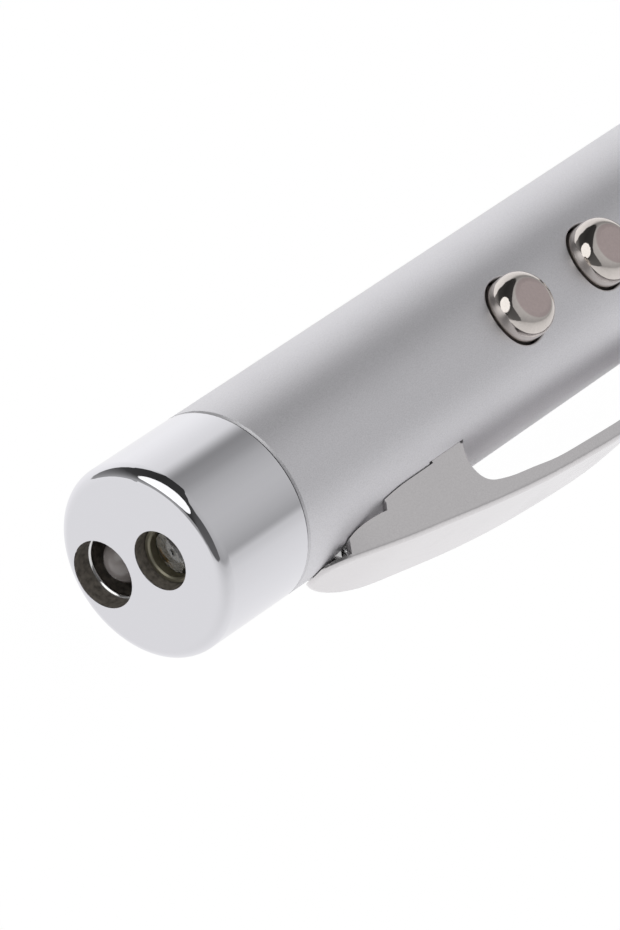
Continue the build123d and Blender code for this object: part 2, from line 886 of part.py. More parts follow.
# The origin is the middle of the underside of the whole pen's box.
whole = Compound(list(nodes.values())).bounding_box()
to_origin = Pos(-(whole.min.X + whole.max.X) / 2, -(whole.min.Y + whole.max.Y) / 2, -whole.min.Z)
os.makedirs("parts", exist_ok=True)
for name, shape in nodes.items():
    export_step(to_origin * shape, f"parts/{name}.step")
print("pen axis and head face from the origin", to_origin.position)
print("clip angle", clip_angle, "button angle", button_angle, "opening line angle", hole_angle)
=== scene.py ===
import json
import math
import bpy
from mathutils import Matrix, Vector, noise


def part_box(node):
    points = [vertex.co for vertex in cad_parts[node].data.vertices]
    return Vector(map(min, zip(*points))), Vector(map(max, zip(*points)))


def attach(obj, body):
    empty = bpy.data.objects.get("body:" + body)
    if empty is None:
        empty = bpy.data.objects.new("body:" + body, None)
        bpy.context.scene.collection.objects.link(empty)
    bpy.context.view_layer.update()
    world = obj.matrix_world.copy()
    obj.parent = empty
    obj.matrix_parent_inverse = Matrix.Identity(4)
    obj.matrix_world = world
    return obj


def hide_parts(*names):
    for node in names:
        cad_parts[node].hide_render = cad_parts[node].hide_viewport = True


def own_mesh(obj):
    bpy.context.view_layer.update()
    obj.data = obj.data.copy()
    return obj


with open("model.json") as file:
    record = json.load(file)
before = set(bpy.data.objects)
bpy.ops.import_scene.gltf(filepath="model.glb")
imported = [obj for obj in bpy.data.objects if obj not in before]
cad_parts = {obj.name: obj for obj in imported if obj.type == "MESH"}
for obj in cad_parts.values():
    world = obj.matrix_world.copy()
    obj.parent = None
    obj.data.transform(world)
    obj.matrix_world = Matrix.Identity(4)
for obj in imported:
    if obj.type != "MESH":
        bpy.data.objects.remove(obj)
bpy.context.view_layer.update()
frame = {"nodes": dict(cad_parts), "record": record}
nodes = frame["nodes"]
print("frame loaded,", len(nodes), "nodes")


# Places that the pieces below are built from, in metres
headLow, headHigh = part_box("head_cap")
penAxis = Vector((0, (headLow.y + headHigh.y) / 2, (headLow.z + headHigh.z) / 2))
penRadius = (headHigh.y - headLow.y) / 2
headFace = headLow.x


# Camera, at the photograph's angle
cameraSetup = {
    "place": (-0.338524, -0.114769, 0.288310), "turn": (44.6434, -17.9265, -50.4070), "lens": 270.97,
    "sensor": 36.0, "nearest": 0.01, "farthest": 20.0,
}


def makeCamera(setup):
    lens = bpy.data.cameras.new("photoCamera")
    lens.lens = setup["lens"]
    lens.sensor_width = setup["sensor"]
    lens.clip_start = setup["nearest"]
    lens.clip_end = setup["farthest"]
    camera = bpy.data.objects.new("photoCamera", lens)
    camera.location = setup["place"]
    camera.rotation_euler = [math.radians(a) for a in setup["turn"]]
    bpy.context.scene.collection.objects.link(camera)
    bpy.context.scene.camera = camera


makeCamera(cameraSetup)
bpy.context.scene.view_settings.view_transform = "Standard"
print("camera placed")


# Small helpers for node trees
def addNode(tree, kind, label="", **settings):
    node = tree.nodes.new(kind)
    node.label = label
    for key, value in settings.items():
        setattr(node, key, value)
    return node


def feed(tree, socket, value):  # links an output to a socket, or sets the socket's own value
    if isinstance(value, bpy.types.NodeSocket):
        tree.links.new(value, socket)
    elif value is not None:
        socket.default_value = value


def mathNode(tree, operation, first, second=None, third=None, clamp=False):
    node = addNode(tree, "ShaderNodeMath", operation=operation, use_clamp=clamp)
    for socket, value in zip(node.inputs, (first, second, third)):
        feed(tree, socket, value)
    return node.outputs[0]


def smoothStep(tree, value, low, high, toLow=0.0, toHigh=1.0):
    node = addNode(tree, "ShaderNodeMapRange", interpolation_type="SMOOTHSTEP")
    given = {"Value": value, "From Min": low, "From Max": high, "To Min": toLow, "To Max": toHigh}
    for name, item in given.items():
        feed(tree, node.inputs[name], item)
    return node.outputs["Result"]


def smoothLine(tree, value, low, high):  # a straight rise from 0 to 1
    node = addNode(tree, "ShaderNodeMapRange", clamp=True)
    for name, item in {"Value": value, "From Min": low, "From Max": high}.items():
        feed(tree, node.inputs[name], item)
    return node.outputs["Result"]


def ramp(tree, value, stops):  # stops are (position, grey or colour) pairs
    node = addNode(tree, "ShaderNodeValToRGB")
    elements = node.color_ramp.elements
    while len(elements) < len(stops):
        elements.new(0.5)
    for element, (place, shade) in zip(elements, stops):
        element.position = place
        element.color = (*shade, 1.0) if isinstance(shade, tuple) else (shade, shade, shade, 1.0)
    feed(tree, node.inputs["Fac"], value)
    return node.outputs["Color"]


def curve(tree, value, points):  # straight lines between (input, output) pairs, outputs from -1 to 1
    low, high = points[0][0], points[-1][0]
    stops = [((place - low) / (high - low), (level + 1) / 2) for place, level in points]
    return mathNode(tree, "MULTIPLY_ADD", ramp(tree, smoothLine(tree, value, low, high), stops), 2.0, -1.0)


def mixColor(tree, factor, first, second, blend="MIX"):
    node = addNode(tree, "ShaderNodeMix", data_type="RGBA", blend_type=blend)
    feed(tree, node.inputs[0], factor)
    for socket, value in ((node.inputs[6], first), (node.inputs[7], second)):
        feed(tree, socket, (*value, 1.0) if isinstance(value, tuple) and len(value) == 3 else value)
    return node.outputs[2]


# Studio: a white sweep all round, a grey ceiling over the pen and the dark room in front of its head.
# The first number of each pair is the angle round the pen's axis from straight up, in degrees. It grows
# towards the clip's side. The dark room shows where a direction points further to the front than
# roomEdge, and roomBlur is how softly it ends there.
studioSetup = {
    "sweep": [(-180, 0.905), (-150, 0.92), (-106, 0.985), (-94, 0.965), (-82, 0.916), (-70, 0.855),
              (-58, 0.80), (66, 0.60), (76, 0.66), (86, 0.745), (98, 0.79), (122, 0.845), (150, 0.882),
              (180, 0.905)],
    "ceiling": [(-60, 0.27), (-34, 0.28), (-22, 0.335), (-10, 0.445), (2, 0.505), (14, 0.543),
                (26, 0.55), (38, 0.525), (50, 0.474), (62, 0.405), (70, 0.38)],
    "ceilingEdges": (-58.0, -36.0, 63.0, 73.0),
    "roomEdge": [(-180, -0.98), (-160, -0.95), (-150, -0.91), (-145, -0.88), (-138, -0.81), (-128, -0.71),
                 (-124, -0.60), (-120, -0.43), (-114, -0.33), (-107, -0.28), (-97, -0.22), (-83, -0.11),
                 (-67, 0.03), (-53, 0.40), (-42, 0.60), (-34, 0.63), (-20, 0.58), (-13, 0.48), (-5, 0.0),
                 (0, -0.30), (10, -0.50), (63, -0.55), (71, -0.74), (80, -0.88), (90, -0.94),
                 (110, -0.975), (180, -0.98)],
    "roomBlur": (-0.025, 0.03),
    "room": [(-124, 0.36), (-107, 0.23), (-95, 0.15), (-78, 0.05), (-40, 0.03), (0, 0.045), (16, 0.09),
             (60, 0.12)],
    "frontDim": (-0.6, 0.3, 0.91),
    "tint": (1.0, 0.995, 1.01),
}


def makeStudio(setup):
    world = bpy.data.worlds.new("studio")
    bpy.context.scene.world = world
    world.use_nodes = True
    tree = world.node_tree
    tree.nodes.clear()
    place = addNode(tree, "ShaderNodeTexCoord")
    parts = addNode(tree, "ShaderNodeSeparateXYZ")
    tree.links.new(place.outputs["Generated"], parts.inputs[0])
    x, y, z = parts.outputs
    turn = mathNode(tree, "DEGREES", mathNode(tree, "ARCTAN2", mathNode(tree, "MULTIPLY", y, -1.0), z))
    leftOut, leftIn, rightIn, rightOut = setup["ceilingEdges"]
    overhead = mathNode(tree, "MULTIPLY", smoothStep(tree, turn, leftOut, leftIn),
                        smoothStep(tree, turn, rightIn, rightOut, 1.0, 0.0))
    shade = mixColor(tree, overhead, curve(tree, turn, setup["sweep"]), curve(tree, turn, setup["ceiling"]))
    low, high, least = setup["frontDim"]
    shade = mixColor(tree, 1.0, shade, smoothStep(tree, x, low, high, least, 1.0), "MULTIPLY")
    ahead = mathNode(tree, "SUBTRACT", curve(tree, turn, setup["roomEdge"]), x)
    dark = smoothStep(tree, ahead, *setup["roomBlur"])
    shade = mixColor(tree, dark, shade, curve(tree, turn, setup["room"]))
    shade = mixColor(tree, 1.0, shade, setup["tint"], "MULTIPLY")
    light = addNode(tree, "ShaderNodeBackground")
    feed(tree, light.inputs["Color"], shade)
    white = addNode(tree, "ShaderNodeBackground")
    white.inputs["Color"].default_value = (1, 1, 1, 1)
    path = addNode(tree, "ShaderNodeLightPath")
    mix = addNode(tree, "ShaderNodeMixShader")
    out = addNode(tree, "ShaderNodeOutputWorld")
    tree.links.new(path.outputs["Is Camera Ray"], mix.inputs[0])
    tree.links.new(light.outputs[0], mix.inputs[1])
    tree.links.new(white.outputs[0], mix.inputs[2])
    tree.links.new(mix.outputs[0], out.inputs["Surface"])


makeStudio(studioSetup)


# Soft oval window in front of the head, to its left
windowSetup = {"away": 0.6, "bearing": 25.3, "height": 27.8, "width": 0.49, "tall": 0.78, "watts": 1.1}


def makeWindow(setup):
    lamp = bpy.data.lights.new("softWindow", "AREA")
    lamp.shape = "ELLIPSE"
    lamp.size = setup["width"]
    lamp.size_y = setup["tall"]
    lamp.energy = setup["watts"]
    bearing, height = math.radians(setup["bearing"]), math.radians(setup["height"])
    level = math.cos(height)
    toLamp = Vector((-level * math.cos(bearing), level * math.sin(bearing), math.sin(height)))
    window = bpy.data.objects.new("softWindow", lamp)
    window.location = Vector((headFace, penAxis.y, penAxis.z)) + toLamp * setup["away"]
    window.rotation_euler = toLamp.to_track_quat("Z", "Y").to_euler()
    window.visible_camera = False
    bpy.context.scene.collection.objects.link(window)


makeWindow(windowSetup)


# Floor: white to the camera, with a faint shadow
floorSetup = {"size": 3.0, "below": 0.00001, "color": (0.86, 0.86, 0.87), "glow": 0.93, "white": 1.05}


def makeFloor(setup):
    half = setup["size"] / 2
    mesh = bpy.data.meshes.new("floor")
    corners = [(-half, -half, 0), (half, -half, 0), (half, half, 0), (-half, half, 0)]
    mesh.from_pydata(corners, [], [(0, 1, 2, 3)])
    floor = bpy.data.objects.new("floor", mesh)
    floor.location.z = -setup["below"]
    floor.visible_glossy = False
    bpy.context.scene.collection.objects.link(floor)
    paper = bpy.data.materials.new("floorPaper")
    paper.use_nodes = True
    tree = paper.node_tree
    tree.nodes.clear()
    matt = addNode(tree, "ShaderNodeBsdfDiffuse")
    matt.inputs["Color"].default_value = (*setup["color"], 1)
    white = addNode(tree, "ShaderNodeEmission")
    white.inputs["Strength"].default_value = setup["white"]
    path = addNode(tree, "ShaderNodeLightPath")
    seen, through = path.outputs["Is Camera Ray"], path.outputs["Is Transmission Ray"]
    straight = mathNode(tree, "ADD", seen, through, clamp=True)
    mix = addNode(tree, "ShaderNodeMixShader")
    feed(tree, mix.inputs[0], mathNode(tree, "MULTIPLY", straight, setup["glow"]))
    out = addNode(tree, "ShaderNodeOutputMaterial")
    tree.links.new(matt.outputs[0], mix.inputs[1])
    tree.links.new(white.outputs[0], mix.inputs[2])
    tree.links.new(mix.outputs[0], out.inputs["Surface"])
    mesh.materials.append(paper)


makeFloor(floorSetup)
print("studio, window and floor made")


# Node groups that several finishes share
def newGroup(name, inputs, outputs):
    group = bpy.data.node_groups.new(name, "ShaderNodeTree")
    for label, value in inputs:
        socket = group.interface.new_socket(label, in_out="INPUT", socket_type="NodeSocketFloat")
        socket.default_value = value
    for label in outputs:
        group.interface.new_socket(label, in_out="OUTPUT", socket_type="NodeSocketFloat")
    return group, addNode(group, "NodeGroupInput"), addNode(group, "NodeGroupOutput")


def makeFineGrain():  # even speckle, its cell size in metres
    group, given, result = newGroup("fine grain", [("Cell Size", 0.0001), ("Contrast", 1.0)], ["Grain"])
    place = addNode(group, "ShaderNodeTexCoord")
    speckle = addNode(group, "ShaderNodeTexNoise")
    speckle.inputs["Detail"].default_value = 2.0
    group.links.new(place.outputs["Object"], speckle.inputs["Vector"])
    group.links.new(mathNode(group, "DIVIDE", 1.0, given.outputs["Cell Size"]), speckle.inputs["Scale"])
    middling = mathNode(group, "SUBTRACT", speckle.outputs["Fac"], 0.5)
    spread = mathNode(group, "MULTIPLY_ADD", middling, given.outputs["Contrast"], 0.5)
    kept = mathNode(group, "MAXIMUM", mathNode(group, "MINIMUM", spread, 1.0), 0.0)
    group.links.new(kept, result.inputs["Grain"])
    return group


def makeHandlingMarks():  # soft smudges and fine hairlines
    group, given, result = newGroup("handling marks", [("Patch Size", 0.004), ("Hairline Size", 0.0008)],
                                    ["Smudge", "Hairline"])
    place = addNode(group, "ShaderNodeTexCoord")
    smudge = addNode(group, "ShaderNodeTexNoise")
    smudge.inputs["Detail"].default_value = 4.0
    smudge.inputs["Roughness"].default_value = 0.6
    group.links.new(place.outputs["Object"], smudge.inputs["Vector"])
    group.links.new(mathNode(group, "DIVIDE", 1.0, given.outputs["Patch Size"]), smudge.inputs["Scale"])
    group.links.new(smoothStep(group, smudge.outputs["Fac"], 0.45, 0.75), result.inputs["Smudge"])
    stretch = addNode(group, "ShaderNodeMapping")
    stretch.inputs["Rotation"].default_value = (0.5, 0.3, 0.4)
    stretch.inputs["Scale"].default_value = (1.0, 14.0, 5.0)
    group.links.new(place.outputs["Object"], stretch.inputs["Vector"])
    lines = addNode(group, "ShaderNodeTexNoise")
    lines.inputs["Detail"].default_value = 3.0
    group.links.new(stretch.outputs[0], lines.inputs["Vector"])
    group.links.new(mathNode(group, "DIVIDE", 0.15, given.outputs["Hairline Size"]), lines.inputs["Scale"])
    group.links.new(smoothStep(group, lines.outputs["Fac"], 0.66, 0.74), result.inputs["Hairline"])
    return group


def makeTurnedLines():  # tool marks of a lathe, rings along the pen
    group, given, result = newGroup("turned lines", [("Pitch", 0.00015)], ["Height"])
    place = addNode(group, "ShaderNodeTexCoord")
    parts = addNode(group, "ShaderNodeSeparateXYZ")
    group.links.new(place.outputs["Object"], parts.inputs[0])
    rings = addNode(group, "ShaderNodeTexNoise", noise_dimensions="1D")
    rings.inputs["Detail"].default_value = 3.0
    group.links.new(mathNode(group, "DIVIDE", parts.outputs[0], given.outputs["Pitch"]), rings.inputs["W"])
    rings.inputs["Scale"].default_value = 1.0
    group.links.new(rings.outputs["Fac"], result.inputs["Height"])
    return group


fineGrain = makeFineGrain()
handlingMarks = makeHandlingMarks()
turnedLines = makeTurnedLines()


def useGroup(tree, group, **values):
    node = addNode(tree, "ShaderNodeGroup", node_tree=group)
    for label, value in values.items():
        feed(tree, node.inputs[label.replace("_", " ")], value)
    return node


def newFinish(name, color, roughness, metallic=0.0):
    material = bpy.data.materials.new(name)
    material.use_nodes = True
    tree = material.node_tree
    shader = tree.nodes["Principled BSDF"]
    shader.inputs["Base Color"].default_value = (*color, 1.0)
    shader.inputs["Roughness"].default_value = roughness
    shader.inputs["Metallic"].default_value = metallic
    return material, tree, shader


def addBump(tree, shader, height, depth, strength=1.0):  # depth of the relief in metres
    bump = addNode(tree, "ShaderNodeBump")
    bump.inputs["Distance"].default_value = depth
    bump.inputs["Strength"].default_value = strength
    feed(tree, bump.inputs["Height"], height)
    tree.links.new(bump.outputs["Normal"], shader.inputs["Normal"])


# Chrome plate of the head, the middle ring and the nose. The openings and the cap's inside are left dull.
# The dull walls begin innerSkin in from the pen's radius, and end tailSkin before the cap's rear end.
chromeSetup = {
    "color": (0.82, 0.82, 0.845), "roughness": 0.03, "smudged": 0.05, "hairlines": 0.03,
    "patch": 0.005, "hairline": 0.0007, "rimRound": 0.0008, "skin": 0.00004,
    "innerSkin": (0.0001, 0.00005), "tailSkin": (0.0005, 0.0004),
    "wallColor": (0.25, 0.225, 0.195), "wallRoughness": 0.42, "wallGrain": 0.0003, "wallContrast": 2.2,
    "wallShades": (0.55, 1.45),
}


def makeChrome(setup):
    material, tree, shader = newFinish("chromePlate", setup["color"], setup["roughness"], 1.0)
    marks = useGroup(tree, handlingMarks, Patch_Size=setup["patch"], Hairline_Size=setup["hairline"])
    place = addNode(tree, "ShaderNodeTexCoord")
    parts = addNode(tree, "ShaderNodeSeparateXYZ")
    tree.links.new(place.outputs["Object"], parts.inputs[0])
    across = mathNode(tree, "SUBTRACT", parts.outputs[1], penAxis.y)
    up = mathNode(tree, "SUBTRACT", parts.outputs[2], penAxis.z)
    squared = mathNode(tree, "MULTIPLY_ADD", across, across, mathNode(tree, "MULTIPLY", up, up))
    reach = mathNode(tree, "SQRT", squared)
    # depth of the head's own round rim at this reach, which the plated skin follows
    bend = mathNode(tree, "MAXIMUM", mathNode(tree, "SUBTRACT", reach, penRadius - setup["rimRound"]), 0.0)
    left = mathNode(tree, "SUBTRACT", setup["rimRound"] ** 2, mathNode(tree, "MULTIPLY", bend, bend))
    rise = mathNode(tree, "SQRT", mathNode(tree, "MAXIMUM", left, 0.0))
    skin = mathNode(tree, "SUBTRACT", setup["rimRound"], rise)
    depth = mathNode(tree, "SUBTRACT", mathNode(tree, "SUBTRACT", parts.outputs[0], headFace), skin)
    deep = smoothStep(tree, depth, setup["skin"], setup["skin"] * 2)
    first, last = (penRadius - inset for inset in setup["innerSkin"])
    inner = smoothStep(tree, reach, first, last, 1.0, 0.0)
    first, last = (headHigh.x - inset for inset in setup["tailSkin"])
    ahead = smoothStep(tree, parts.outputs[0], first, last, 1.0, 0.0)
    wall = mathNode(tree, "MULTIPLY", mathNode(tree, "MULTIPLY", deep, inner), ahead)
    grain = useGroup(tree, fineGrain, Cell_Size=setup["wallGrain"], Contrast=setup["wallContrast"])
    darker, lighter = (tuple(c * share for c in setup["wallColor"]) for share in setup["wallShades"])
    tone = ramp(tree, grain.outputs["Grain"], [(0.0, darker), (1.0, lighter)])
    feed(tree, shader.inputs["Base Color"], mixColor(tree, wall, setup["color"], tone))
    feed(tree, shader.inputs["Metallic"], mathNode(tree, "SUBTRACT", 1.0, wall))
    plate = mathNode(tree, "MULTIPLY_ADD", marks.outputs["Smudge"], setup["smudged"], setup["roughness"])
    plate = mathNode(tree, "MULTIPLY_ADD", marks.outputs["Hairline"], setup["hairlines"], plate)
    rough = addNode(tree, "ShaderNodeMix", data_type="FLOAT")
    feed(tree, rough.inputs[0], wall)
    feed(tree, rough.inputs[2], plate)
    rough.inputs[3].default_value = setup["wallRoughness"]
    tree.links.new(rough.outputs[0], shader.inputs["Roughness"])
    return material


# Satin silver lacquer with fine metal flake
paintSetup = {
    "color": (0.85, 0.845, 0.865), "roughness": 0.47, "metallic": 0.88,
    "flakeSize": 0.00007, "flakeTone": 0.07, "flakeContrast": 2.2, "flakeRoughness": 0.08,
    "patch": 0.006, "hairline": 0.0012, "smudged": 0.03, "coat": 0.15, "coatRoughness": 0.22,
    "relief": 0.0000015, "reliefStrength": 0.6,
}


def makePaint(setup):
    material, tree, shader = newFinish("satinSilver", setup["color"], setup["roughness"], setup["metallic"])
    flake = useGroup(tree, fineGrain, Cell_Size=setup["flakeSize"], Contrast=setup["flakeContrast"])
    marks = useGroup(tree, handlingMarks, Patch_Size=setup["patch"], Hairline_Size=setup["hairline"])
    dim = tuple(c * (1 - setup["flakeTone"]) for c in setup["color"])
    bright = tuple(min(1.0, c * (1 + setup["flakeTone"])) for c in setup["color"])
    feed(tree, shader.inputs["Base Color"], ramp(tree, flake.outputs["Grain"], [(0.1, dim), (0.9, bright)]))
    spread = setup["flakeRoughness"]
    rough = mathNode(tree, "MULTIPLY_ADD", flake.outputs["Grain"], spread, setup["roughness"] - spread / 2)
    rough = mathNode(tree, "MULTIPLY_ADD", marks.outputs["Smudge"], setup["smudged"], rough)
    feed(tree, shader.inputs["Roughness"], rough)
    shader.inputs["Coat Weight"].default_value = setup["coat"]
    shader.inputs["Coat Roughness"].default_value = setup["coatRoughness"]
    addBump(tree, shader, flake.outputs["Grain"], setup["relief"], setup["reliefStrength"])
    return material


# Wear that the metals share: sizes of smudges and hairlines, how far the grain spreads and dims the tone
metalWear = {
    "patch": 0.003, "hairline": 0.0009, "contrast": 1.6, "dim": 0.93, "hairlines": 0.06, "pitch": 0.00012,
}


def wornMetal(tree, grainSize):  # smudges with hairlines, and grain
    marks = useGroup(tree, handlingMarks, Patch_Size=metalWear["patch"], Hairline_Size=metalWear["hairline"])
    return marks, useGroup(tree, fineGrain, Cell_Size=grainSize, Contrast=metalWear["contrast"])


def roughenMetal(tree, shader, marks, setup):
    rough = mathNode(tree, "MULTIPLY_ADD", marks.outputs["Smudge"], setup["smudged"], setup["roughness"])
    rough = mathNode(tree, "MULTIPLY_ADD", marks.outputs["Hairline"], metalWear["hairlines"], rough)
    feed(tree, shader.inputs["Roughness"], rough)


# Plain metals, each with its own tone, smudges and lathe or drawing lines
metalSetup = {
    "clipSteel": {
        "color": (0.82, 0.80, 0.80), "roughness": 0.16,
        "smudged": 0.06, "lines": 0.0, "grain": 0.00012,
    },
    "turnedBrass": {
        "color": (0.62, 0.53, 0.33), "roughness": 0.22,
        "smudged": 0.10, "lines": 0.000006, "grain": 0.0002,
    },
    "darkBrass": {
        "color": (0.36, 0.34, 0.26), "roughness": 0.45,
        "smudged": 0.12, "lines": 0.000006, "grain": 0.0002,
    },
    "brightLip": {
        "color": (0.90, 0.90, 0.89), "roughness": 0.12,
        "smudged": 0.05, "lines": 0.0, "grain": 0.0001,
    },
    "crumpledStrip": {
        "color": (0.93, 0.93, 0.92), "roughness": 0.08,
        "smudged": 0.05, "lines": 0.0, "grain": 0.0001,
    },
    "springWire": {
        "color": (0.55, 0.55, 0.56), "roughness": 0.22,
        "smudged": 0.12, "lines": 0.000002, "grain": 0.0001,
    },
    "goldFlash": {
        "color": (0.83, 0.62, 0.27), "roughness": 0.18,
        "smudged": 0.08, "lines": 0.0, "grain": 0.0002,
    },
    "tinnedMetal": {
        "color": (0.62, 0.62, 0.61), "roughness": 0.30,
        "smudged": 0.12, "lines": 0.0, "grain": 0.0002,
    },
    "guideSteel": {
        "color": (0.52, 0.52, 0.53), "roughness": 0.28,
        "smudged": 0.10, "lines": 0.000006, "grain": 0.0002,
    },
    "carbideBall": {
        "color": (0.38, 0.38, 0.40), "roughness": 0.12,
        "smudged": 0.05, "lines": 0.0, "grain": 0.00005,
    },
    "cellCan": {
        "color": (0.64, 0.64, 0.63), "roughness": 0.24,
        "smudged": 0.14, "lines": 0.0, "grain": 0.0003,
    },
}


def makeMetal(name, setup):
    material, tree, shader = newFinish(name, setup["color"], setup["roughness"], 1.0)
    marks, grain = wornMetal(tree, setup["grain"])
    dim = tuple(c * metalWear["dim"] for c in setup["color"])
    tone = ramp(tree, grain.outputs["Grain"], [(0.1, dim), (0.9, setup["color"])])
    feed(tree, shader.inputs["Base Color"], tone)
    roughenMetal(tree, shader, marks, setup)
    if setup["lines"]:
        lines = useGroup(tree, turnedLines, Pitch=metalWear["pitch"])
        addBump(tree, shader, lines.outputs["Height"], setup["lines"])
    return material


# Nickel plate of the buttons. Their flat tops are painted a darker, warmer tone as a painted reflection of
# the grey ceiling turn is the buttons' angle round the pen in degrees, and top their reach from its axis.
# The painted darker top fades in over edge, below the top. The lighter tone round it stands in for the
# bright reflections on the shoulders.
buttonSetup = {
    "turn": 21.147, "top": 0.00785, "edge": (0.00009, 0.00005), "color": (0.76, 0.71, 0.665),
    "paintedDarkTop": (0.60, 0.505, 0.485), "roughness": 0.06, "smudged": 0.08, "grain": 0.0002, "dust": 0.08,
}


def makeNickel(setup):
    material, tree, shader = newFinish("nickelPlate", setup["color"], setup["roughness"], 1.0)
    marks, grain = wornMetal(tree, setup["grain"])
    place = addNode(tree, "ShaderNodeTexCoord")
    parts = addNode(tree, "ShaderNodeSeparateXYZ")
    tree.links.new(place.outputs["Object"], parts.inputs[0])
    lean = math.radians(setup["turn"])
    aside = mathNode(tree, "SUBTRACT", penAxis.y, parts.outputs[1])
    above = mathNode(tree, "SUBTRACT", parts.outputs[2], penAxis.z)
    across = mathNode(tree, "MULTIPLY", aside, math.sin(lean))
    up = mathNode(tree, "MULTIPLY", above, math.cos(lean))
    # painted reflection: darker, warmer tone on the flat tops and a lighter tone on the shoulders, one
    # nickel split into lit and shaded tones
    first, last = (setup["top"] - inset for inset in setup["edge"])
    paintedTopMask = smoothStep(tree, mathNode(tree, "ADD", across, up), first, last)
    tone = mixColor(tree, paintedTopMask, setup["color"], setup["paintedDarkTop"])
    dust = mathNode(tree, "MULTIPLY", grain.outputs["Grain"], setup["dust"])
    feed(tree, shader.inputs["Base Color"], mixColor(tree, dust, tone, (0.0, 0.0, 0.0)))
    roughenMetal(tree, shader, marks, setup)
    return material


# Moulded and painted insulating pieces, and the wear that they share
mouldedWear = {"patch": 0.004, "hairline": 0.001, "contrast": 1.8, "dim": 0.8, "smudged": 0.10}
mouldedSetup = {
    "blackMoulding": {
        "color": (0.070, 0.065, 0.061), "roughness": 0.48,
        "grain": 0.00014, "relief": 0.000010,
    },
    "chipBlack": {
        "color": (0.030, 0.030, 0.033), "roughness": 0.62,
        "grain": 0.00008, "relief": 0.000006,
    },
    "boardGreen": {
        "color": (0.020, 0.130, 0.050), "roughness": 0.32,
        "grain": 0.0005, "relief": 0.000008,
    },
    "whiteMoulding": {
        "color": (0.74, 0.73, 0.70), "roughness": 0.38,
        "grain": 0.0002, "relief": 0.000008,
    },
    "ringRubber": {
        "color": (0.022, 0.021, 0.021), "roughness": 0.70,
        "grain": 0.00010, "relief": 0.000012,
    },
}


def makeMoulded(name, setup):
    material, tree, shader = newFinish(name, setup["color"], setup["roughness"])
    wear = mouldedWear
    grain = useGroup(tree, fineGrain, Cell_Size=setup["grain"], Contrast=wear["contrast"])
    marks = useGroup(tree, handlingMarks, Patch_Size=wear["patch"], Hairline_Size=wear["hairline"])
    dim = tuple(c * wear["dim"] for c in setup["color"])
    tone = ramp(tree, grain.outputs["Grain"], [(0.1, dim), (0.9, setup["color"])])
    feed(tree, shader.inputs["Base Color"], tone)
    rough = mathNode(tree, "MULTIPLY_ADD", marks.outputs["Smudge"], wear["smudged"], setup["roughness"])
    feed(tree, shader.inputs["Roughness"], rough)
    addBump(tree, shader, grain.outputs["Grain"], setup["relief"])
    return material


# Clear pieces. clear is the share of light that passes, and the rest is milky.
clearSurface = {"contrast": 1.5, "mottled": 0.03, "relief": 0.000004, "reliefStrength": 0.5}
clearSetup = {
    "lensGlass": {
        "color": (0.90, 0.87, 0.80), "roughness": 0.01,
        "ior": 1.85, "grain": 0.0004, "clear": 1.0,
    },
    "lampResin": {
        "color": (0.86, 0.79, 0.76), "roughness": 0.12,
        "ior": 1.53, "grain": 0.0003, "clear": 0.58,
    },
    "refillTube": {
        "color": (0.80, 0.84, 0.88), "roughness": 0.18,
        "ior": 1.50, "grain": 0.0003, "clear": 1.0,
    },
}


def makeClear(name, setup):
    material, tree, shader = newFinish(name, setup["color"], setup["roughness"])
    shader.inputs["Transmission Weight"].default_value = setup["clear"]
    shader.inputs["IOR"].default_value = setup["ior"]
    surface = clearSurface
    grain = useGroup(tree, fineGrain, Cell_Size=setup["grain"], Contrast=surface["contrast"])
    rough = mathNode(tree, "MULTIPLY_ADD", grain.outputs["Grain"], surface["mottled"], setup["roughness"])
    feed(tree, shader.inputs["Roughness"], rough)
    addBump(tree, shader, grain.outputs["Grain"], surface["relief"], surface["reliefStrength"])
    return material


# The finish of each material slot in the record
finishes = {
    "chrome": makeChrome(chromeSetup),
    "silver_paint": makePaint(paintSetup),
    "nickel": makeNickel(buttonSetup),
}
metalOfSlot = {
    "polished_steel": "clipSteel", "brass": "turnedBrass", "dark_brass": "darkBrass",
    "spring_steel": "springWire", "gold_plate": "goldFlash", "tinned_steel": "tinnedMetal",
    "guide_steel": "guideSteel", "carbide": "carbideBall", "cell_steel": "cellCan",
}
mouldedOfSlot = {
    "black_plastic": "blackMoulding", "chip_black": "chipBlack", "board_green": "boardGreen",
    "white_plastic": "whiteMoulding", "rubber": "ringRubber",
}
clearOfSlot = {"lens_glass": "lensGlass", "lamp_resin": "lampResin", "refill_plastic": "refillTube"}
for slotName, name in metalOfSlot.items():
    finishes[slotName] = makeMetal(name, metalSetup[name])
for slotName, name in mouldedOfSlot.items():
    finishes[slotName] = makeMoulded(name, mouldedSetup[name])
for slotName, name in clearOfSlot.items():
    finishes[slotName] = makeClear(name, clearSetup[name])

for row in frame["record"]["subparts"]:
    solid = nodes[row["node"]]
    finish = finishes[row["material_slot"]]
    if not solid.material_slots:
        solid.data.materials.append(finish)
    for holder in solid.material_slots:
        holder.material = finish


# Pieces that only the dressed part has. Sizes are in metres, and depth is measured back from the head's
# face. A spun piece turns an outline of (depth, radius) pairs about a line along the pen.
def spunMesh(name, outline, start, side, material, sides=96):
    vertices = []
    for turn in range(sides):
        angle = 2 * math.pi * turn / sides
        for depth, radius in outline:
            across, up = radius * math.sin(angle), radius * math.cos(angle)
            vertices.append((start + depth, side.y - across, side.z + up))
    count = len(outline)
    faces = []
    for turn in range(sides):
        here, there = turn * count, (turn + 1) % sides * count
        for step in range(count):
            after = (step + 1) % count
            faces.append((here + step, there + step, there + after, here + after))
    mesh = bpy.data.meshes.new(name)
    mesh.from_pydata(vertices, [], faces)
    mesh.materials.append(material)
    mesh.polygons.foreach_set("use_smooth", [True] * len(faces))
    piece = bpy.data.objects.new(name, mesh)
    bpy.context.scene.collection.objects.link(piece)
    return piece


def middle(node):
    low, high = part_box(node)
    return (low + high) / 2


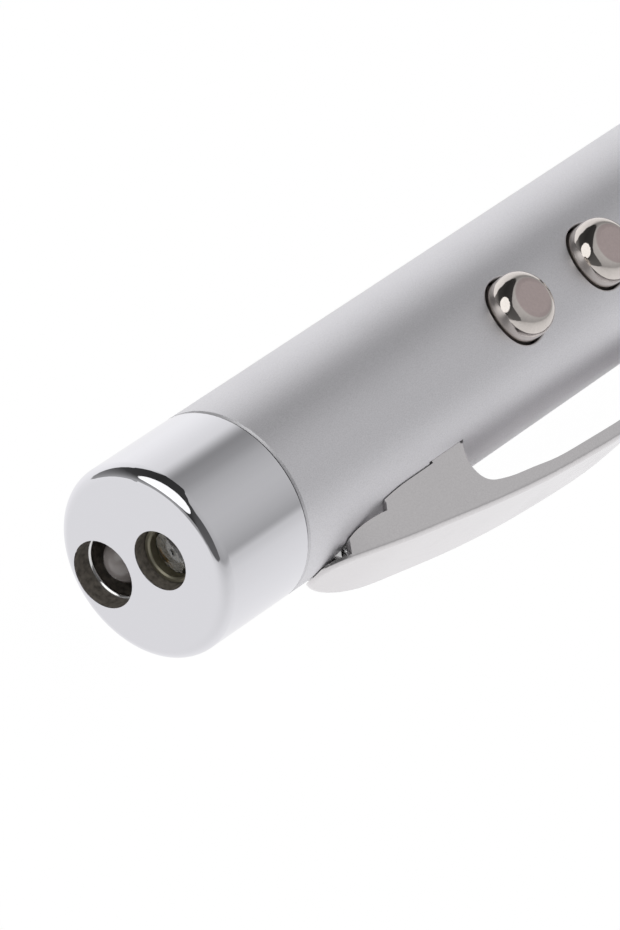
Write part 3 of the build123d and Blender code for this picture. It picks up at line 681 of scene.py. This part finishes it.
# Bright rounded ring inside the lamp's opening
lipSetup = {
    "depth": 0.00127, "outer": 0.002168, "bend": 0.00028, "tilts": (10, 52), "steps": 7,
    "behind": 0.0002, "seat": 0.000006,
}


def makeLip(setup):
    first, last = setup["tilts"]
    front = []
    for n in range(setup["steps"]):
        tilt = math.radians(last + (first - last) * n / (setup["steps"] - 1))
        inward = setup["bend"] * (math.sin(tilt) - math.sin(math.radians(first)))
        back = setup["bend"] * (math.cos(math.radians(first)) - math.cos(tilt))
        front.append((setup["depth"] + back, setup["outer"] - inward))
    behind = setup["depth"] + setup["behind"]
    wall = setup["outer"] + setup["seat"]
    outline = front + [(setup["depth"] + setup["seat"], wall), (behind, wall), (behind, front[0][1])]
    bright = makeMetal("brightLip", metalSetup["brightLip"])
    lip = spunMesh("lampLip", outline, headFace, middle("lamp_body"), bright)
    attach(lip, "front_half")


makeLip(lipSetup)


# Small metal cup that holds the lamp's chip, inside the clear resin
cupSetup = {
    "outline": [(0.0, 0.0006), (0.00003, 0.00072), (0.0005, 0.00072), (0.0012, 0.0005),
                (0.0026, 0.0003), (0.0026, 0.0001), (0.0004, 0.0001), (0.0004, 0.0003)],
    "behindTip": 0.0019, "sides": 48,
}


def makeCup(setup):
    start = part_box("lamp_body")[0].x + setup["behindTip"]
    tinned = finishes["tinned_steel"]
    cup = spunMesh("lampCup", setup["outline"], start, middle("lamp_body"), tinned, setup["sides"])
    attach(cup, "front_half")


makeCup(cupSetup)
print("lip and cup made")


# Crumpled bright strip that shows in the openings under the clip's nose. It follows the inside of the nose.
# Its places are given in the clip's own frame: back along the pen, out from the pen's axis, and to the side.
# shortest is the share of its height that it has at the tip of the nose. Small creases lie over the folds.
stripSetup = {
    "turn": 106.547, "reach": 0.0021, "noseLength": 0.0075, "halfWidth": 0.00375, "inset": 0.00042,
    "low": 0.00002, "tallest": 0.00075, "shortest": 0.25, "sheet": 0.00006, "along": 90, "up": 16,
    "crumple": 0.00036, "fold": 0.00100, "bias": 0.35, "crease": 0.5, "creaseFineness": 2.3,
}


def makeStrip(setup):
    turn = math.radians(setup["turn"])
    out = Vector((0, -math.sin(turn), math.cos(turn)))
    aside = Vector((0, math.cos(turn), math.sin(turn)))
    start = Vector((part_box("clip")[0].x, penAxis.y, penAxis.z))
    openTo = math.acos(1 - setup["reach"] / setup["noseLength"])
    layers = []
    for layer in (0, 1):
        inset = setup["inset"] + layer * setup["sheet"]
        rows = []
        for n in range(setup["along"] + 1):
            share = n / setup["along"]
            bend = (2 * share - 1) * openTo
            back = setup["noseLength"] - (setup["noseLength"] - inset) * math.cos(bend)
            side = (setup["halfWidth"] - inset) * math.sin(bend)
            low = math.sqrt(penRadius ** 2 - side ** 2) + setup["low"]
            tall = setup["tallest"] * min(1.0, setup["shortest"] + abs(bend) / openTo)
            row = []
            for m in range(setup["up"] + 1):
                height = tall * m / setup["up"]
                seed = Vector((back, side, height)) / setup["fold"]
                crease = setup["crease"] * noise.noise(seed * setup["creaseFineness"])
                push = max(setup["crumple"] * (setup["bias"] + noise.noise(seed) + crease), 0.0)
                row.append(start + Vector((back + push, 0, 0)) + out * (low + height)
                           + aside * (side - math.copysign(push, side)))
            rows.append(row)
        layers.append(rows)
    wide, high = setup["along"] + 1, setup["up"] + 1
    vertices = [point for rows in layers for row in rows for point in row]

    def spot(layer, n, m):
        return (layer * wide + n) * high + m

    faces = []
    for n in range(wide - 1):
        for m in range(high - 1):
            faces.append((spot(0, n, m), spot(0, n, m + 1), spot(0, n + 1, m + 1), spot(0, n + 1, m)))
            faces.append((spot(1, n, m), spot(1, n + 1, m), spot(1, n + 1, m + 1), spot(1, n, m + 1)))
        for m, order in ((0, (1, 0)), (high - 1, (0, 1))):
            first, second = order
            faces.append((spot(first, n, m), spot(second, n, m),
                          spot(second, n + 1, m), spot(first, n + 1, m)))
    for m in range(high - 1):
        for n, order in ((0, (0, 1)), (wide - 1, (1, 0))):
            first, second = order
            faces.append((spot(first, n, m), spot(second, n, m),
                          spot(second, n, m + 1), spot(first, n, m + 1)))
    mesh = bpy.data.meshes.new("clipStrip")
    mesh.from_pydata(vertices, [], faces)
    mesh.materials.append(makeMetal("crumpledStrip", metalSetup["crumpledStrip"]))
    mesh.polygons.foreach_set("use_smooth", [True] * len(faces))
    strip = bpy.data.objects.new("clipStrip", mesh)
    bpy.context.scene.collection.objects.link(strip)
    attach(strip, "pocket_clip")


makeStrip(stripSetup)


def makeSpring():
    mesh = nodes["refill_spring"].data.copy()
    mesh.name = "refillCoil"
    coil = bpy.data.objects.new("refillCoil", mesh)
    bpy.context.scene.collection.objects.link(coil)
    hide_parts("refill_spring")
    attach(coil, "twist_barrel")
    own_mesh(coil)


makeSpring()
print("strip and spring made")
